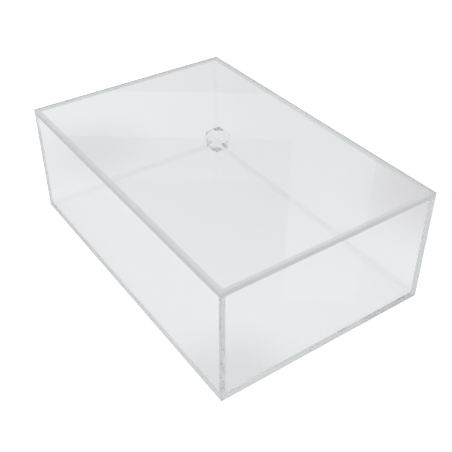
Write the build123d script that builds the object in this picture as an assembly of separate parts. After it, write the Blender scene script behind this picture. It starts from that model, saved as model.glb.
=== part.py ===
from build123d import *
import os

# Clear acrylic storage box: a floor, four walls, a loose lid and a faceted knob. Millimetres.
# The origin is the middle of the underside of the floor, with +Z up. The long sides run along X.

# Driving sizes of the box
box_length = 300.0
box_width = 200.0
rim_height = 102.0
wall_thickness = 5.0
floor_thickness = 5.0
# the scraped and polished corner that every cut sheet has
edge_easing = 0.5

# Driving sizes of the lid and its knob
lid_thickness = 4.0
# the knob is widest across the points of its four sides
knob_width = 22.8
# the sides of its three level squares, from the one that is bonded to the lid to the small top
knob_base_side = 11.6
knob_shoulder_side = 14.6
knob_table_side = 7.2
# how far it rises from its base to those points, on to its shoulder, and on to its top
knob_foot_rise = 4.7
knob_body_rise = 8.7
knob_crown_rise = 3.6

FLAT_BASE = (Align.CENTER, Align.CENTER, Align.MIN)

os.makedirs("parts", exist_ok=True)


def block(length, width, height, base_height):
    """A plain upright block, centred on the Z axis, that starts at the given height."""
    return Pos(0, 0, base_height) * Box(length, width, height, align=FLAT_BASE)


def eased(solid):
    """The same solid with a small flat taken off every edge."""
    return chamfer(solid.edges(), edge_easing)


def box_blank():
    """The outer shape of the closed box body, which gives every panel its eased outer edges."""
    return eased(block(box_length, box_width, rim_height, 0))


def floor_panel():
    """The bottom sheet. It has the whole outline of the box, and the walls stand on it."""
    sheet = block(box_length, box_width, floor_thickness, 0)
    return sheet & box_blank()


def long_wall(side):
    """A wall as long as the box. side is -1 at the front and +1 at the back."""
    height = rim_height - floor_thickness
    sheet = block(box_length, wall_thickness, height, floor_thickness)
    offset = side * (box_width - wall_thickness) / 2
    return (Pos(0, offset, 0) * sheet) & box_blank()


def end_wall(side):
    """A short wall that fits between the long ones. side is -1 at the left and +1 at the right."""
    height = rim_height - floor_thickness
    clear_width = box_width - 2 * wall_thickness
    sheet = block(wall_thickness, clear_width, height, floor_thickness)
    offset = side * (box_length - wall_thickness) / 2
    return (Pos(offset, 0, 0) * sheet) & box_blank()


def lid_plate():
    """The lid: one flat sheet, flush with the walls all round, that lies on their rim."""
    return eased(block(box_length, box_width, lid_thickness, rim_height))


def quarter_turns(corner):
    """A point in each of its four places round the Z axis."""
    return [corner.rotate(Axis.Z, angle) for angle in (0, 90, 180, 270)]


def facet(*corners):
    """One flat facet between its corners."""
    return Face(Wire.make_polygon(corners, close=True))


def lid_knob():
    """The knob: a clear block with four facets on each side that meet in a point, and a cut crown."""
    seat = rim_height + lid_thickness
    girdle_height = seat + knob_foot_rise
    shoulder_height = girdle_height + knob_body_rise
    table_height = shoulder_height + knob_crown_rise
    base = quarter_turns(Vector(knob_base_side / 2, -knob_base_side / 2, seat))
    points = quarter_turns(Vector(knob_width / 2, 0, girdle_height))
    shoulder = quarter_turns(Vector(knob_shoulder_side / 2, -knob_shoulder_side / 2, shoulder_height))
    table = quarter_turns(Vector(knob_table_side / 2, -knob_table_side / 2, table_height))
    facets = [facet(*base), facet(*table)]
    for side in range(4):
        after = (side + 1) % 4
        rim = [base[side], base[after], shoulder[after], shoulder[side]]
        for start, end in zip(rim, rim[1:] + rim[:1]):
            facets.append(facet(start, end, points[side]))
        facets.append(facet(shoulder[side], shoulder[after], table[after], table[side]))
    return Solid(Shell(facets))


PIECES = {
    "floor_panel": floor_panel(),
    "front_wall": long_wall(-1),
    "back_wall": long_wall(1),
    "left_wall": end_wall(-1),
    "right_wall": end_wall(1),
    "lid_plate": lid_plate(),
    "lid_knob": lid_knob(),
}

for name, piece in PIECES.items():
    export_step(piece, f"parts/{name}.step")
    print(f"{name}: {piece.volume / 1000:.1f} cm3")
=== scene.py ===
# %% [markdown]
# # A clear acrylic box with a loose lid and a faceted knob
#
# The real box is seven pieces of clear acrylic: a floor, four walls, a lid and a knob. Clear
# acrylic has hardly any colour of its own. What the eye sees is light that is bent, mirrored and
# trapped by the sheets, so this lesson is about surfaces: polished faces, trimmed edges, and the
# welded seams at which two sheets have become one.

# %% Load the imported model
from math import cos, pi, radians, sin

import bmesh
import bpy
from mathutils import Matrix, Vector


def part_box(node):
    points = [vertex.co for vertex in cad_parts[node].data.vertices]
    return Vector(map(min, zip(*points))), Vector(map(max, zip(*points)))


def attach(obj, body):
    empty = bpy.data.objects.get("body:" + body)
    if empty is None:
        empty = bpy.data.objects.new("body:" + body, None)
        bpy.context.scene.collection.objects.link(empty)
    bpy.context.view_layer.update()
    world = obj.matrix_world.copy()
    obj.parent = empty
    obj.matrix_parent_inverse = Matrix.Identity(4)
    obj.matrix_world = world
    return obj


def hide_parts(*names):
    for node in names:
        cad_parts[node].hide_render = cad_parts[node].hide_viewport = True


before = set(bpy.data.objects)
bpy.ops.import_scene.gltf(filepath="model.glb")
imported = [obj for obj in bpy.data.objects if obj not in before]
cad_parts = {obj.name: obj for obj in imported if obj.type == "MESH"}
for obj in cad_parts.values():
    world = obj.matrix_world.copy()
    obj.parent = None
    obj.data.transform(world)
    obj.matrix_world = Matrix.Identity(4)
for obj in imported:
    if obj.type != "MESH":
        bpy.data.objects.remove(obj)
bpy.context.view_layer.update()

# %% [markdown]
# ## The sizes that everything follows
#
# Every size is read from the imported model, so a sheet here is as long, wide and thick as the one
# that was constructed. The storage space is what the four walls and the floor leave free. It also
# tells where the seams are: a panel's face that looks neither into the storage space nor out of
# the box must be welded to its neighbour.

# %% Read the sizes of the box from its panels
MM = 0.001

PANELS = ("floor_panel", "front_wall", "back_wall", "left_wall", "right_wall")
floor_low, floor_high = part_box("floor_panel")
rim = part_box("back_wall")[1].z
shell_low = floor_low
shell_high = Vector((floor_high.x, floor_high.y, rim))
space_low = Vector((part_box("left_wall")[1].x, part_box("front_wall")[1].y, floor_high.z))
space_high = Vector((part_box("right_wall")[0].x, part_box("back_wall")[0].y, rim))
lid_low, lid_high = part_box("lid_plate")
print("storage space, mm", [round(v / MM, 1) for v in space_high - space_low])

# %% [markdown]
# ## Colours and nodes
#
# Colours are written as sRGB hex values, as a colour picker shows them, and one function turns
# them into the linear values that the renderer works with. One more function adds a shader node
# with its settings and its links, so that each material below reads as a short list of steps.

# %% Helpers for colours and nodes
def colour(code, alpha=1.0):
    """Linear RGBA from an sRGB hex code such as F4F8F8."""
    parts = [int(code[i:i + 2], 16) / 255 for i in (0, 2, 4)]
    linear = [p / 12.92 if p <= 0.04045 else ((p + 0.055) / 1.055) ** 2.4 for p in parts]
    return (*linear, alpha)


def add_node(tree, kind, settings=None, **inputs):
    """Adds a node. settings are its own properties. inputs are values or the sockets that feed it.

    An input is named as the socket is, with _ for a space, or _0 for the first, _1 for the second.
    """
    node = tree.nodes.new(kind)
    for name, value in (settings or {}).items():
        setattr(node, name, value)
    for name, value in inputs.items():
        key = int(name[1:]) if name[1:].isdigit() else name.replace("_", " ")
        socket = node.inputs[key]
        if isinstance(value, bpy.types.NodeSocket):
            tree.links.new(value, socket)
        else:
            socket.default_value = value
    return node


def new_material(name):
    """An empty node material and its output node."""
    material = bpy.data.materials.new(name)
    material.use_nodes = True
    material.node_tree.nodes.clear()
    output = material.node_tree.nodes.new("ShaderNodeOutputMaterial")
    return material, material.node_tree, output


print("white", colour("FFFFFF"), "mid grey", [round(v, 3) for v in colour("808080")])

# %% [markdown]
# ## Haze: what keeps acrylic from looking like nothing
#
# A cast sheet is flat and clear, but hands wipe it, and each wipe leaves a faint haze and a few
# hairlines along its stroke. Both are roughness, not colour: they blur a mirrored edge and leave
# the sheet clear. The pattern is a noise on the sheet's own coordinates, stretched along the
# stroke, and its ends are set so that most of the sheet stays perfectly smooth.

# %% Make a roughness pattern
# how long and how wide one streak is: a hand's wipe, a polishing stroke, a scraper's mark, and the
# mark of a polishing wheel on a small facet
WIPE = (140 * MM, 9 * MM)
STROKE = (20 * MM, 3 * MM)
SCRAPE = (12 * MM, 2 * MM)
WHEEL = (6 * MM, 1.5 * MM)
# the noise lies around 0.5: below the first level there is no haze, above the second it's full
HAZE_STARTS, HAZE_FULL = 0.48, 0.72


def haze(tree, smooth, hazy, streak):
    """Roughness between two values, in soft streaks of a length and a width."""
    length, width = streak
    place = add_node(tree, "ShaderNodeTexCoord")
    # one unit of the noise is one streak, so a length across it is divided by the streak's own
    stretched = add_node(tree, "ShaderNodeMapping", Vector=place.outputs["Object"],
                         Scale=(1 / length, 1 / width, 1 / width))
    cloud = add_node(tree, "ShaderNodeTexNoise", Vector=stretched.outputs[0], Scale=1.0,
                     Detail=4.0, Roughness=0.55)
    spread = add_node(tree, "ShaderNodeMapRange", Value=cloud.outputs["Fac"],
                      From_Min=HAZE_STARTS, From_Max=HAZE_FULL, To_Min=smooth, To_Max=hazy)
    return spread.outputs["Result"]


for streak in (WIPE, STROKE, SCRAPE, WHEEL):
    print("streak, mm", [round(size / MM, 1) for size in streak])

# %% [markdown]
# ## Acrylic
#
# Acrylic bends light a little less than window glass: its index of refraction is 1.49. A sheet's
# faces are as smooth as the glass plates that it was cast between. Its cut edges come in two
# finishes. Once the box is welded, the edges on its outside are trimmed flush and polished, so the
# far ones all but vanish. The rim and the lid's edges are only scraped and rubbed: they are satin
# and scatter the light, which is why the lid is outlined by an even grey band.
#
# Two kinds of ray pass straight through: rays to a lamp, and rays that leave a matt surface. So
# the paper under the box is lit by the room, as real paper is, and the box throws the shadow of a
# clear box: next to nothing from the sheets, and thin grey lines from their edges.

# %% Make the acrylic materials
ACRYLIC_IOR = 1.49
# the light that a shadow lets pass, through a face and through an edge
SHEET_PASSING, EDGE_PASSING = "FFFFFF", "DDE3E1"


def acrylic(name, tint, passing, clear, smooth, hazy, streak):
    """Acrylic of a tint. clear is the share of the light that isn't scattered at its surface."""
    material, tree, output = new_material(name)
    body = add_node(tree, "ShaderNodeBsdfPrincipled", Base_Color=colour(tint), IOR=ACRYLIC_IOR,
                    Transmission_Weight=clear, Roughness=haze(tree, smooth, hazy, streak))
    straight = add_node(tree, "ShaderNodeBsdfTransparent", Color=colour(passing))
    path = add_node(tree, "ShaderNodeLightPath")
    mixed = body
    for ray in ("Is Shadow Ray", "Is Diffuse Ray"):
        mixed = add_node(tree, "ShaderNodeMixShader", _0=path.outputs[ray], _1=mixed.outputs[0],
                         _2=straight.outputs[0])
    tree.links.new(mixed.outputs[0], output.inputs["Surface"])
    return material


# the faces: water-clear, smooth but for the wiped streaks
sheet_face = acrylic("cast_acrylic_face", tint="FFFFFF", passing=SHEET_PASSING, clear=1.0,
                     smooth=0.0, hazy=0.02, streak=WIPE)
# the floor: another sheet, of a trace greener acrylic
floor_face = acrylic("greenish_acrylic_face", tint="FEFFFE", passing=SHEET_PASSING, clear=1.0,
                     smooth=0.0, hazy=0.02, streak=WIPE)
# the outer edges: trimmed and polished by hand, so a little hazier than the faces
polished_edge = acrylic("polished_acrylic_edge", tint="FFFFFF", passing=EDGE_PASSING, clear=1.0,
                        smooth=0.13, hazy=0.18, streak=STROKE)
# the rim and the lid's edges: satin, so the eye sees an even pale grey and not what is behind
satin_edge = acrylic("satin_acrylic_edge", tint="ECEDEC", passing=EDGE_PASSING, clear=0.15,
                     smooth=0.28, hazy=0.36, streak=SCRAPE)
# the knob: polished facets with a trace of the polishing wheel
knob_face = acrylic("polished_acrylic_facet", tint="FFFFFF", passing=EDGE_PASSING, clear=1.0,
                    smooth=0.0, hazy=0.03, streak=WHEEL)
for material in (sheet_face, floor_face, polished_edge, satin_edge, knob_face):
    print("acrylic material", material.name)

# %% [markdown]
# ## Welded seams
#
# Acrylic is joined by a solvent that melts both faces into one, so a good seam has nothing that
# could mirror light: it's only seen by the small bubbles and dry spots that the solvent left. The
# seam's faces are transparent, and a noise with a high threshold draws rare bubbles as grey specks.
# Near three places at the foot of the walls, where the photograph shows dry spots, the specks
# crowd together. A real bubble is a fraction of a millimetre, which is too fine to show, so they
# are drawn coarser.

# %% Make the seam material
BUBBLE_SIZE = 1.6 * MM
FILM, BUBBLE = "FEFEFE", "AEB6BA"
# the noise level at which a bubble starts to show, and the one at which it's fully grey
BUBBLE_STARTS, BUBBLE_FULL = 0.7, 0.76
DRY_SPOTS = ((-0.137, -0.097, 0.005), (0.147, 0.018, 0.005), (0.147, 0.082, 0.005))
# how far a dry spot reaches, and how much it lifts the noise in its middle
DRY_REACH, DRY_LIFT = 12 * MM, 0.2

seam, tree, output = new_material("solvent_welded_seam")
place = add_node(tree, "ShaderNodeTexCoord").outputs["Object"]
level = add_node(tree, "ShaderNodeTexNoise", Vector=place, Scale=1 / BUBBLE_SIZE,
                 Detail=2.0).outputs["Fac"]
for spot in DRY_SPOTS:
    away = add_node(tree, "ShaderNodeVectorMath", {"operation": "DISTANCE"}, _0=place, _1=spot)
    near = add_node(tree, "ShaderNodeMapRange", Value=away.outputs["Value"], From_Max=DRY_REACH,
                    To_Min=DRY_LIFT, To_Max=0.0)
    level = add_node(tree, "ShaderNodeMath", {"operation": "ADD"}, _0=level,
                     _1=near.outputs["Result"]).outputs[0]
bubble = add_node(tree, "ShaderNodeMapRange", Value=level, From_Min=BUBBLE_STARTS,
                  From_Max=BUBBLE_FULL)
tone = add_node(tree, "ShaderNodeMix", {"data_type": "RGBA"}, _0=bubble.outputs["Result"],
                _6=colour(FILM), _7=colour(BUBBLE))
film = add_node(tree, "ShaderNodeBsdfTransparent", Color=tone.outputs[2])
tree.links.new(film.outputs[0], output.inputs["Surface"])
print("seam", seam.name, "with", len(DRY_SPOTS), "dry spots")

# %% [markdown]
# ## Sheets
#
# A sheet starts as a cube that is stretched to its place. The maker scrapes every outer edge, so
# the edges get a small round with a bevel: the same half millimetre that the constructed sheets
# have, in a few steps, so that it catches a soft line of light. A sheet's materials come in a fixed
# order, and each face points to one of them by its number.

# %% Start, ease and finish a sheet
EASING = 0.5 * MM
EASING_STEPS = 3
# closer than this, two places are the same place
TINY = 0.01 * MM
# a face with less than this along an axis has its side to it and not its front
SIDEWAYS = 0.9
# the numbers of a sheet's materials that come after the one of its broad faces
POLISHED, SATIN, SEAM = 1, 2, 3
SHEET_MATERIALS = (sheet_face, polished_edge, satin_edge, seam)
FLOOR_MATERIALS = (floor_face, polished_edge, satin_edge, seam)


def start_sheet(low, high):
    """A bmesh cube stretched between two corners."""
    bm = bmesh.new()
    bmesh.ops.create_cube(bm, size=1.0)
    bmesh.ops.scale(bm, vec=high - low, verts=bm.verts)
    bmesh.ops.translate(bm, vec=(low + high) / 2, verts=bm.verts)
    return bm


def sides_touched(point, low, high):
    """How many of a box's sides a point lies on."""
    return sum(min(abs(point[i] - low[i]), abs(point[i] - high[i])) < TINY for i in range(3))


def ease_edges(bm, low, high):
    """Rounds the edges that lie on an edge of the given box."""
    outer = [e for e in bm.edges
             if sides_touched((e.verts[0].co + e.verts[1].co) / 2, low, high) == 2]
    bmesh.ops.bevel(bm, geom=outer, offset=EASING, offset_type="OFFSET", segments=EASING_STEPS,
                    profile=0.5, affect="EDGES", material=-1)


def finish_piece(bm, name, materials, body, replaced):
    """Turns a bmesh into an object that rides on its body and stands for its CAD node."""
    bmesh.ops.recalc_face_normals(bm, faces=bm.faces)
    mesh = bpy.data.meshes.new(name)
    bm.to_mesh(mesh)
    bm.free()
    for material in materials:
        mesh.materials.append(material)
    piece = bpy.data.objects.new(name, mesh)
    bpy.context.scene.collection.objects.link(piece)
    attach(piece, body)
    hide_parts(replaced)
    print(f"{name}: {len(mesh.polygons)} faces")


print("edges are rounded by", EASING / MM, "mm")

# %% [markdown]
# ## The floor and the four walls
#
# The walls stand on the floor, the long ones run the whole length, and the short ones fit between
# them. Where two sheets are welded there is no surface any more, so such a strip has to be a face
# of its own. All sheets are cut at the planes of the storage space for that, and each face then
# gets its material by where it is: welded, on the thin side of the sheet, or on its broad side.

# %% Make the floor and the four walls
def cut_at(bm, axis, place):
    """Cuts all faces along a plane across one axis."""
    normal = Vector((axis == 0, axis == 1, axis == 2))
    bmesh.ops.bisect_plane(bm, geom=bm.verts[:] + bm.edges[:] + bm.faces[:], dist=TINY / 10,
                           plane_co=normal * place, plane_no=normal)


def is_seam(centre):
    """True where a panel's face looks neither out of the box nor into the storage space."""
    outside = any(min(centre[i] - shell_low[i], shell_high[i] - centre[i]) < EASING
                  for i in range(3))
    inside = all(space_low[i] - TINY < centre[i] < space_high[i] + TINY for i in range(3))
    return not outside and not inside


def make_panel(node):
    """A panel of the box, with its welded strips as faces of their own."""
    low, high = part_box(node)
    thinnest = min(range(3), key=lambda axis: high[axis] - low[axis])
    bm = start_sheet(low, high)
    ease_edges(bm, shell_low, shell_high)
    for axis in range(3):
        for place in (space_low[axis], space_high[axis]):
            if low[axis] + TINY < place < high[axis] - TINY:
                cut_at(bm, axis, place)
    for face in bm.faces:
        if is_seam(face.calc_center_median()):
            face.material_index = SEAM
        elif abs(face.normal[thinnest]) < SIDEWAYS:
            on_rim = face.calc_center_median().z > rim - EASING
            face.material_index = SATIN if on_rim else POLISHED
    name = node.replace("_panel", "_sheet").replace("_wall", "_sheet")
    materials = FLOOR_MATERIALS if node == "floor_panel" else SHEET_MATERIALS
    finish_piece(bm, name, materials, "box", node)


for node in PANELS:
    make_panel(node)

# %% [markdown]
# ## The knob
#
# The knob is a small block with polished facets. It keeps the constructed shape: a copy of its
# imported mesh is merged, the triangles of each flat facet become one face, and only the edges are
# rounded a little, because no polished edge is a knife. Each then catches a thread of light.

# %% Model the knob
FACET_EASING = 0.15 * MM
FACET_STEPS = 2
# triangles that meet at less than this angle, in radians, are one flat facet
SAME_FACET = 0.01


def make_knob():
    """The constructed knob with rounded edges. Its underside is welded to the lid."""
    bm = bmesh.new()
    bm.from_mesh(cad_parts["lid_knob"].data)
    bmesh.ops.remove_doubles(bm, verts=bm.verts, dist=TINY / 10)
    bmesh.ops.dissolve_limit(bm, angle_limit=SAME_FACET, verts=bm.verts, edges=bm.edges)
    for face in bm.faces:
        face.smooth = False
    base = min(bm.faces, key=lambda f: f.calc_center_median().z)
    free = [e for e in bm.edges if base not in e.link_faces]
    bmesh.ops.bevel(bm, geom=free, offset=FACET_EASING, offset_type="OFFSET", segments=FACET_STEPS,
                    profile=0.5, affect="EDGES", material=-1)
    base = min(bm.faces, key=lambda f: f.calc_center_median().z)
    # the facets wear the first material, and the base wears the seam
    for face in bm.faces:
        face.material_index = 1 if face is base else 0
    outline = [v.co.copy() for v in base.verts]
    finish_piece(bm, "faceted_knob", (knob_face, seam), "lid", "lid_knob")
    return outline


knob_outline = make_knob()
print("knob stands on", len(knob_outline), "corners")

# %% [markdown]
# ## The lid
#
# The lid isn't bonded: it lies on the rim with a film of air under it, and that film makes the rim
# show as a band through the lid. Its underside is raised by a few hundredths of a millimetre, the
# air and dust of a real dry joint. The patch that the knob stands on is cut out along the knob's
# own outline, because the knob is welded there and light passes from one into the other.

# %% Make the lid
AIR_FILM = 0.04 * MM
# a face whose normal points up by more than this is level
LEVEL = 0.999


def top_faces(bm):
    """The level faces of the lid's upper side."""
    return [f for f in bm.faces if f.normal.z > LEVEL]


def same_side(start, end, one, other):
    """True where two points lie on the same side of a line, seen from above."""
    along = end - start
    return along.cross(one - start).z * along.cross(other - start).z > 0


def cut_patch(bm, outline):
    """Cuts the top face along each side of an outline, and returns the faces within it."""
    centre = sum(outline, Vector()) / len(outline)
    sides = list(zip(outline, outline[1:] + outline[:1]))
    for start, end in sides:
        across = (end - start).cross(Vector((0, 0, 1))).normalized()
        faces = top_faces(bm)
        geometry = {v for f in faces for v in f.verts} | {e for f in faces for e in f.edges}
        bmesh.ops.bisect_plane(bm, geom=list(geometry | set(faces)), dist=TINY / 100,
                               plane_co=start, plane_no=across)
    return [f for f in top_faces(bm)
            if all(same_side(start, end, f.calc_center_median(), centre) for start, end in sides)]


def make_lid():
    """The lid plate, with the patch under the knob as a face of its own."""
    low, high = lid_low + Vector((0, 0, AIR_FILM)), lid_high.copy()
    bm = start_sheet(low, high)
    ease_edges(bm, low, high)
    for face in bm.faces:
        if abs(face.normal.z) < SIDEWAYS:
            face.material_index = SATIN
    patch = cut_patch(bm, knob_outline)
    for face in patch:
        face.material_index = SEAM
    print("patch under the knob:", len(patch), "faces")
    finish_piece(bm, "lid_sheet", SHEET_MATERIALS, "lid", "lid_plate")


make_lid()

# %% [markdown]
# ## The paper under the box
#
# The box stands on white paper. Clear acrylic shows little else: through it the paper is a little
# darker than beside it, and the edges gather the greys of paper and room. The camera sees the
# paper as plain white, and bent and mirrored rays see it nearly white. Uneven light on the paper is
# painted into its colour as soft patches of painted shade: a purple one behind the right corner,
# and grey ones at the left, under the near corner, and a little farther off behind the box. These
# painted shades only show through the acrylic.

# %% Make the paper
PAPER_SIZE = 6.0
# the paper lies this far under the box, so that two faces never share a place
PAPER_DROP = 0.1 * MM
# how much the paper glows for the camera, and for rays that the acrylic has bent or mirrored
SEEN_GLOW, MIRRORED_GLOW = 0.6, 0.18
# the paper's own colour, then the tones of its painted purple shade and painted grey shade
PAPER, PAINTED_PURPLE_SHADE, PAINTED_GREY_SHADE = "E8E9E9", "C2B6C2", "B8B8B8"
# the painted shades: where each has its middle, how far it reaches, how deep it is, and its tone
PAINTED_SHADES = (((0.07, 0.24, 0.0), 0.12, 0.8, PAINTED_PURPLE_SHADE),
          ((-0.22, -0.02, 0.0), 0.095, 0.4, PAINTED_GREY_SHADE),
          ((0.13, -0.075, 0.0), 0.06, 0.45, PAINTED_GREY_SHADE),
          ((-0.1, 0.32, 0.0), 0.4, 0.3, PAINTED_GREY_SHADE))

bm = bmesh.new()
bmesh.ops.create_grid(bm, x_segments=1, y_segments=1, size=PAPER_SIZE / 2)
bmesh.ops.translate(bm, vec=(0, 0, -PAPER_DROP), verts=bm.verts)
paper_mesh = bpy.data.meshes.new("paper")
bm.to_mesh(paper_mesh)
bm.free()
paper = bpy.data.objects.new("paper", paper_mesh)
bpy.context.scene.collection.objects.link(paper)

white, tree, output = new_material("white_paper")
place = add_node(tree, "ShaderNodeTexCoord").outputs["Object"]
tone = colour(PAPER)
# each painted shade pulls the paper's colour towards its tone, fading out smoothly at its reach
for middle, reach, depth, shade in PAINTED_SHADES:
    away = add_node(tree, "ShaderNodeVectorMath", {"operation": "DISTANCE"}, _0=place, _1=middle)
    near = add_node(tree, "ShaderNodeMapRange", {"interpolation_type": "SMOOTHSTEP"},
                    Value=away.outputs["Value"], From_Max=reach, To_Min=depth, To_Max=0.0)
    tone = add_node(tree, "ShaderNodeMix", {"data_type": "RGBA"}, _0=near.outputs["Result"],
                    _6=tone, _7=colour(shade)).outputs[2]
matt = add_node(tree, "ShaderNodeBsdfDiffuse", Color=tone)
path = add_node(tree, "ShaderNodeLightPath")
bent = add_node(tree, "ShaderNodeMath", {"operation": "ADD", "use_clamp": True},
                _0=path.outputs["Is Glossy Ray"], _1=path.outputs["Is Transmission Ray"])
mirrored = add_node(tree, "ShaderNodeMath", {"operation": "MULTIPLY"}, _0=bent.outputs[0],
                    _1=MIRRORED_GLOW)
strength = add_node(tree, "ShaderNodeMath", {"operation": "MULTIPLY_ADD"},
                    _0=path.outputs["Is Camera Ray"], _1=SEEN_GLOW, _2=mirrored.outputs[0])
glow = add_node(tree, "ShaderNodeEmission", Color=colour("FFFFFF"), Strength=strength.outputs[0])
both = add_node(tree, "ShaderNodeAddShader", _0=matt.outputs[0], _1=glow.outputs[0])
tree.links.new(both.outputs[0], output.inputs["Surface"])
paper_mesh.materials.append(white)
print("paper", PAPER_SIZE, "m wide, with", len(PAINTED_SHADES), "soft shades")

# %% [markdown]
# ## The pale room
#
# The room is evenly pale, and a little bluish as daylight is. Acrylic gathers the whole of it in
# its edges, so its brightness sets how grey the edges are. The paper ends three metres away, and
# the camera sees the room beyond it as white too.

# %% Make the room
scene = bpy.context.scene
ROOM_LIGHT = 0.65
# what the camera sees of the room is brighter by this, which makes it white
SEEN_ROOM = 0.4

world = bpy.data.worlds.new("pale_room")
scene.world = world
world.use_nodes = True
world.node_tree.nodes.clear()
seen = add_node(world.node_tree, "ShaderNodeLightPath").outputs["Is Camera Ray"]
strength = add_node(world.node_tree, "ShaderNodeMath", {"operation": "MULTIPLY_ADD"}, _0=seen,
                    _1=SEEN_ROOM, _2=ROOM_LIGHT)
room = add_node(world.node_tree, "ShaderNodeBackground", Color=colour("FAFCFF"),
                Strength=strength.outputs[0])
room_output = world.node_tree.nodes.new("ShaderNodeOutputWorld")
world.node_tree.links.new(room.outputs[0], room_output.inputs["Surface"])
print("room light", ROOM_LIGHT)

# %% [markdown]
# ## The lamps
#
# One large soft box hangs overhead. Two dim panels stand two metres behind the box: they hardly
# light it, but the lid mirrors them as a pale band and a pale column, as the lid in the photograph
# mirrors a window and its wall. Without them the lid would seem to have no surface. They hang
# upright, as if on a wall.

# %% Hang the lamps
LAMP_PLACE, LAMP_AIM = (0.2, -0.3, 3.0), (0, 0, 0)
LAMP_SIDE, LAMP_POWER = 2.0, 20.0
WALL_AWAY, WALL_TURN = 2.0, radians(143)
PANEL_RADIANCE = 0.17
# each panel: how far to the right along the wall, how high, how wide and how tall
PALE_PANELS = (("pale_band", -0.3, 1.175, 1.1, 0.2), ("pale_column", 0.36, 1.5, 0.34, 0.86))


def soft_box(name, place, aim, width, height, power):
    """An area lamp that points at a place."""
    lamp = bpy.data.lights.new(name, "AREA")
    lamp.shape = "RECTANGLE"
    lamp.size = width
    lamp.size_y = height
    lamp.energy = power
    holder = bpy.data.objects.new(name, lamp)
    holder.location = place
    holder.rotation_euler = (Vector(place) - Vector(aim)).to_track_quat("Z", "Y").to_euler()
    scene.collection.objects.link(holder)


soft_box("overhead_soft_box", LAMP_PLACE, LAMP_AIM, LAMP_SIDE, LAMP_SIDE, LAMP_POWER)
wall_middle = Vector((cos(WALL_TURN), sin(WALL_TURN), 0)) * WALL_AWAY
wall_right = Vector((sin(WALL_TURN), -cos(WALL_TURN), 0))
for name, right, up, width, height in PALE_PANELS:
    place = wall_middle + wall_right * right + Vector((0, 0, up))
    # the power goes by the area, so that both panels are equally bright
    soft_box(name, place, place - wall_middle, width, height, PANEL_RADIANCE * pi * width * height)

# %% [markdown]
# ## Camera
#
# The camera's place was found by fitting the twelve edges of the box and the lid to their lines in
# the photograph. It looks down at 37 degrees, from the right of the long side.

# %% Place the camera
CAMERA_PLACE = Vector((0.4388, -0.2961, 0.4261))
CAMERA_AIM = Vector((0.03561, -0.01662, 0.053))
CAMERA_LENS, CAMERA_SENSOR = 58.67, 36.0

camera_data = bpy.data.cameras.new("camera")
camera_data.lens = CAMERA_LENS
camera_data.sensor_width = CAMERA_SENSOR
camera = bpy.data.objects.new("camera", camera_data)
turn = (CAMERA_PLACE - CAMERA_AIM).to_track_quat("Z", "Y").to_matrix().to_4x4()
camera.matrix_world = Matrix.Translation(CAMERA_PLACE) @ turn
scene.collection.objects.link(camera)
scene.camera = camera
scene.view_settings.view_transform = "Standard"
print("camera", [round(v, 3) for v in camera.location], "lens, mm", CAMERA_LENS)

# %% [markdown]
# ## How often light may turn
#
# Light that is trapped in a sheet is mirrored dozens of times before it leaves at an edge. With
# the usual dozen of bounces those paths end in black, and the edges turn nearly black too, so they
# get many more. A ray also passes several transparent seams, which are counted apart.

# %% Let trapped light find its way out
MOST_BOUNCES, MOST_SEAMS = 96, 64
scene.cycles.max_bounces = MOST_BOUNCES
scene.cycles.transmission_bounces = MOST_BOUNCES
scene.cycles.glossy_bounces = MOST_BOUNCES
scene.cycles.transparent_max_bounces = MOST_SEAMS
print("bounces", MOST_BOUNCES)
